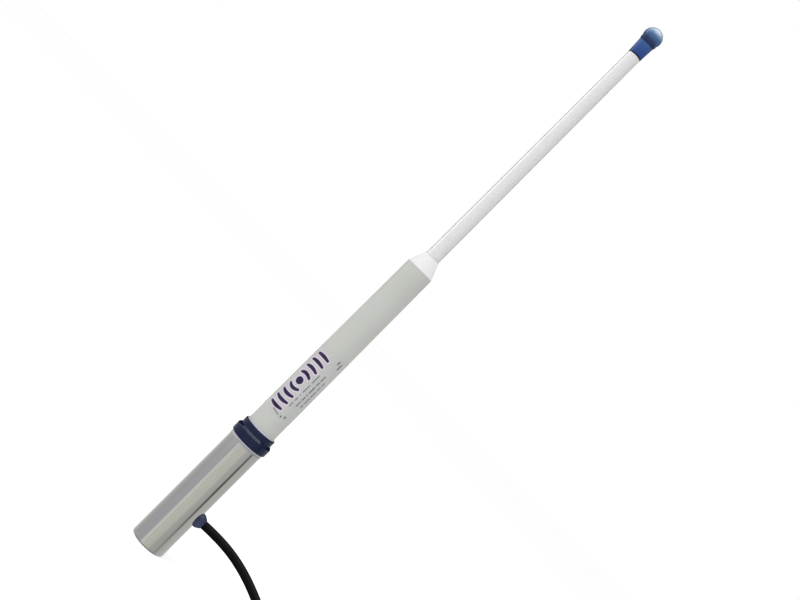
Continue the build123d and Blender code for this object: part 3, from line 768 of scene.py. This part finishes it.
def makeStrap():
    # a flat band carried along a rounded rectangle round the hank's waist: the section's points, moved along
    # the rectangle and square to it. It starts on top, goes once round, and its end lies over its start, one
    # thickness further out.
    low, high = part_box("hank_tie")
    halfWide, halfTall = (high.y - low.y) / 2, (high.z - low.z) / 2
    middleX, middleY = (high.x + low.x) / 2, (high.y + low.y) / 2
    corner = strap["cornerRadius"]
    flatY, flatZ = 2 * (halfWide - corner), 2 * (halfTall - corner)
    quarter = corner * math.pi / 2
    perimeter = 2 * (flatY + flatZ) + 4 * quarter
    run = np.linspace(0.0, perimeter + strap["overlap"], strap["stations"])
    legs = [flatY / 2, quarter, flatZ, quarter, flatY, quarter, flatZ, quarter, flatY / 2]
    legStarts = np.cumsum([0.0, *legs])
    place = run % perimeter
    leg = np.searchsorted(legStarts, place, side="right") - 1
    into = place - legStarts[leg]
    # heading turns a right angle at each corner, starting along +Y on top
    onArc = leg % 2 == 1
    heading = -np.where(onArc, leg // 2 + into / quarter, (leg + 1) // 2) * math.pi / 2
    step = np.gradient(run)
    between = (heading[1:] + heading[:-1]) / 2
    y = np.concatenate([[0.0], np.cumsum(np.cos(between) * step[1:])])
    z = np.concatenate([[0.0], np.cumsum(np.sin(between) * step[1:])])
    climbed = np.clip((run - perimeter + strap["climb"]) / strap["climb"], 0.0, 1.0)
    lift = climbed * (strap["thickness"] + strap["gap"])
    outY, outZ = -np.sin(heading), np.cos(heading)
    edge = strap["edgeRadius"]
    halfX = (high.x - low.x) / 2
    inner = halfX - edge
    loopX = np.array([-halfX, -inner, inner, halfX, halfX, inner, -inner, -halfX])
    thick = strap["thickness"]
    loopOut = np.array([-edge, 0.0, 0.0, -edge, edge - thick, -thick, -thick, edge - thick])
    offset = lift[:, None] + loopOut
    grid = np.dstack([
        middleX + loopX + 0 * offset,
        middleY + y[:, None] + outY[:, None] * offset,
        high.z + z[:, None] + outZ[:, None] * offset,
    ])
    piece = shellMesh("hank_strap", grid, closeAround=True, capEnds=True, smooth=False)
    # its map runs in metres: along the band, and across it
    mesh = piece.data
    mapPoints = np.dstack(np.broadcast_arrays(run[:, None], loopX[None, :])).reshape(-1, 2)
    pointOf = np.empty(len(mesh.loops), dtype=np.int32)
    mesh.loops.foreach_get("vertex_index", pointOf)
    mesh.uv_layers.new(name="along").data.foreach_set("uv", mapPoints[pointOf].ravel())
    finishPiece(piece, makeWebbing())
    piece.visible_glossy = False
    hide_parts("hank_tie")


makeStrap()
print("strap wound")


studio = {
    "floorSize": 12.0,
    "floorDrop": 0.0002,  # below the surface that the antenna stands on
    "floorColour": (0.88, 0.88, 0.88),
    "floorGlow": 0.45,
    "backdrop": 1.0,
    "fill": 0.60,
}


def makeFloor():
    # a level square about the origin
    half = studio["floorSize"] / 2
    across = np.linspace(-half, half, 3)
    x, y = np.meshgrid(across, across)
    floor = shellMesh("floor", np.dstack([x, y, np.full_like(x, -studio["floorDrop"])]))
    material, _, _ = newMaterial("floorWhite", {
        "Base Color": (*studio["floorColour"], 1.0),
        "Roughness": 0.9,
        "Specular IOR Level": 0.1,
        "Emission Color": (1.0, 1.0, 1.0, 1.0),
        "Emission Strength": studio["floorGlow"],
    })
    floor.data.materials.append(material)
    floor.visible_glossy = False


# cards round the object, seen only in what shines: azimuth in degrees from -Y towards +X, then colour.
# Each ring stands at one height, and the edges between them are heights on a unit sphere, start and end.
cards = {
    "low": [
        (-180, (0.80, 0.80, 0.78)),
        (-140, (0.62, 0.62, 0.60)),
        (-122, (0.475, 0.475, 0.470)),
        (-104, (0.455, 0.450, 0.455)),
        (-98, (0.425, 0.415, 0.435)),
        (-66, (0.435, 0.430, 0.450)),
        (-37, (0.430, 0.425, 0.445)),
        (-31, (0.74, 0.74, 0.72)),
        (-23, (0.615, 0.620, 0.545)),
        (28, (0.590, 0.595, 0.525)),
        (38, (0.455, 0.460, 0.435)),
        (64, (0.440, 0.445, 0.425)),
        (69, (0.085, 0.085, 0.085)),
        (79, (0.100, 0.100, 0.095)),
        (85, (0.500, 0.505, 0.480)),
        (130, (0.490, 0.495, 0.470)),
        (150, (0.60, 0.60, 0.58)),
        (180, (0.80, 0.80, 0.78)),
    ],
    "foot": [
        (-180, (0.80, 0.80, 0.78)),
        (-140, (0.62, 0.62, 0.60)),
        (-122, (0.475, 0.475, 0.470)),
        (-98, (0.425, 0.415, 0.435)),
        (-37, (0.430, 0.425, 0.445)),
        (-31, (0.74, 0.74, 0.72)),
        (-23, (0.600, 0.605, 0.545)),
        (20, (0.540, 0.545, 0.490)),
        (34, (0.430, 0.435, 0.415)),
        (60, (0.400, 0.405, 0.390)),
        (74, (0.330, 0.330, 0.320)),
        (90, (0.490, 0.495, 0.470)),
        (130, (0.520, 0.525, 0.500)),
        (180, (0.80, 0.80, 0.78)),
    ],
    "middle": [
        (-180, (0.45, 0.45, 0.46)),
        (-60, (0.62, 0.62, 0.62)),
        (60, (0.45, 0.45, 0.44)),
        (180, (0.45, 0.45, 0.46)),
    ],
    "high": [
        (-180, (0.0, 0.0, 0.0)),
        (-124, (0.0, 0.0, 0.0)),
        (-119, (1.5, 1.5, 1.5)),
        (-92, (1.4, 1.4, 1.4)),
        (-74, (0.50, 0.50, 0.50)),
        (60, (0.30, 0.30, 0.30)),
        (128, (0.20, 0.20, 0.20)),
        (140, (0.0, 0.0, 0.0)),
        (180, (0.0, 0.0, 0.0)),
    ],
    "footToLow": (-0.262, -0.225),
    "lowToMiddle": (-0.163, -0.157),
    "middleToHigh": (0.030, 0.038),
    "floorGlow": 0.06,  # below the cards, where a rounded lower lip looks
    "floorEdge": (-0.62, -0.74),
    "canopyGlow": 2.8,  # a canopy overhead draws the fine lines along upper edges
    "canopyColour": (0.80, 0.86, 1.0),
    "canopyEdge": (0.84, 0.88),
    "canopyTilt": -0.228,  # it comes further down in front than behind
}


def makeSurroundings():
    # white behind the object, an even fill for soft light, and the cards for what shines
    world = bpy.data.worlds.new("studioWorld")
    bpy.context.scene.world = world
    world.use_nodes = True
    tree = world.node_tree
    tree.nodes.clear()
    output = tree.nodes.new("ShaderNodeOutputWorld")
    place = tree.nodes.new("ShaderNodeTexCoord")
    split = tree.nodes.new("ShaderNodeSeparateXYZ")
    tree.links.new(place.outputs["Generated"], split.inputs["Vector"])
    flip = tree.nodes.new("ShaderNodeMath")
    flip.operation = "MULTIPLY"
    flip.inputs[1].default_value = -1.0
    tree.links.new(split.outputs["Y"], flip.inputs[0])
    azimuth = tree.nodes.new("ShaderNodeMath")
    azimuth.operation = "ARCTAN2"
    tree.links.new(split.outputs["X"], azimuth.inputs[0])
    tree.links.new(flip.outputs[0], azimuth.inputs[1])
    turn = band(tree, azimuth.outputs[0], -math.pi, math.pi)

    def light(colour, strength):
        node = tree.nodes.new("ShaderNodeBackground")
        node.inputs["Strength"].default_value = strength
        if isinstance(colour, tuple):
            node.inputs["Color"].default_value = (*colour, 1.0)
        else:
            tree.links.new(colour, node.inputs["Color"])
        return node.outputs["Background"]

    def choose(factor, first, second):
        node = tree.nodes.new("ShaderNodeMixShader")
        tree.links.new(factor, node.inputs["Fac"])
        tree.links.new(first, node.inputs[1])
        tree.links.new(second, node.inputs[2])
        return node.outputs["Shader"]

    def cardRing(name):
        stops = [((angle + 180.0) / 360.0, colour) for angle, colour in cards[name]]
        return light(ramp(tree, turn, stops), 1.0)

    up = split.outputs["Z"]
    shine = choose(band(tree, up, *cards["footToLow"]), cardRing("foot"), cardRing("low"))
    shine = choose(band(tree, up, *cards["lowToMiddle"]), shine, cardRing("middle"))
    shine = choose(band(tree, up, *cards["middleToHigh"]), shine, cardRing("high"))
    canopy = tree.nodes.new("ShaderNodeMath")
    canopy.operation = "MULTIPLY_ADD"
    canopy.inputs[1].default_value = cards["canopyTilt"]
    tree.links.new(split.outputs["Y"], canopy.inputs[0])
    tree.links.new(up, canopy.inputs[2])
    overhead = band(tree, canopy.outputs[0], *cards["canopyEdge"])
    shine = choose(overhead, shine, light(cards["canopyColour"], cards["canopyGlow"]))
    below = band(tree, up, *cards["floorEdge"])
    shine = choose(below, shine, light((1.0, 1.0, 1.0), cards["floorGlow"]))
    rays = tree.nodes.new("ShaderNodeLightPath")
    soft = light((1.0, 1.0, 1.0), studio["fill"])
    shiny = choose(rays.outputs["Is Glossy Ray"], soft, shine)
    seen = choose(rays.outputs["Is Camera Ray"], shiny, light((1.0, 1.0, 1.0), studio["backdrop"]))
    tree.links.new(seen, output.inputs["Surface"])


softboxes = [
    # name, place, aimed at, size, watts
    ("overhead", (-0.25, -0.35, 1.7), (0.0, 0.0, 0.2), 0.9, 4.5),
    ("leftFront", (-1.3, -1.3, 1.5), (0.0, 0.0, 0.25), 1.0, 6.5),
    ("rightBack", (1.2, 1.0, 1.5), (0.0, 0.0, 0.25), 1.0, 5.0),
]


def makeSoftboxes():
    for name, place, target, size, watts in softboxes:
        data = bpy.data.lights.new(name, "AREA")
        data.size = size
        data.energy = watts
        lamp = bpy.data.objects.new(name, data)
        back = np.subtract(place, target)
        back = back / np.linalg.norm(back)
        right = np.cross((0.0, 0.0, 1.0), back)
        right = right / np.linalg.norm(right)
        axes = np.eye(4)
        axes[:3, 0], axes[:3, 1], axes[:3, 2], axes[:3, 3] = right, np.cross(back, right), back, place
        lamp.matrix_world = Matrix(axes.tolist())
        lamp.visible_glossy = False
        bpy.context.scene.collection.objects.link(lamp)


makeFloor()
makeSurroundings()
makeSoftboxes()
bpy.context.scene.view_settings.view_transform = "Standard"
print("stage set")
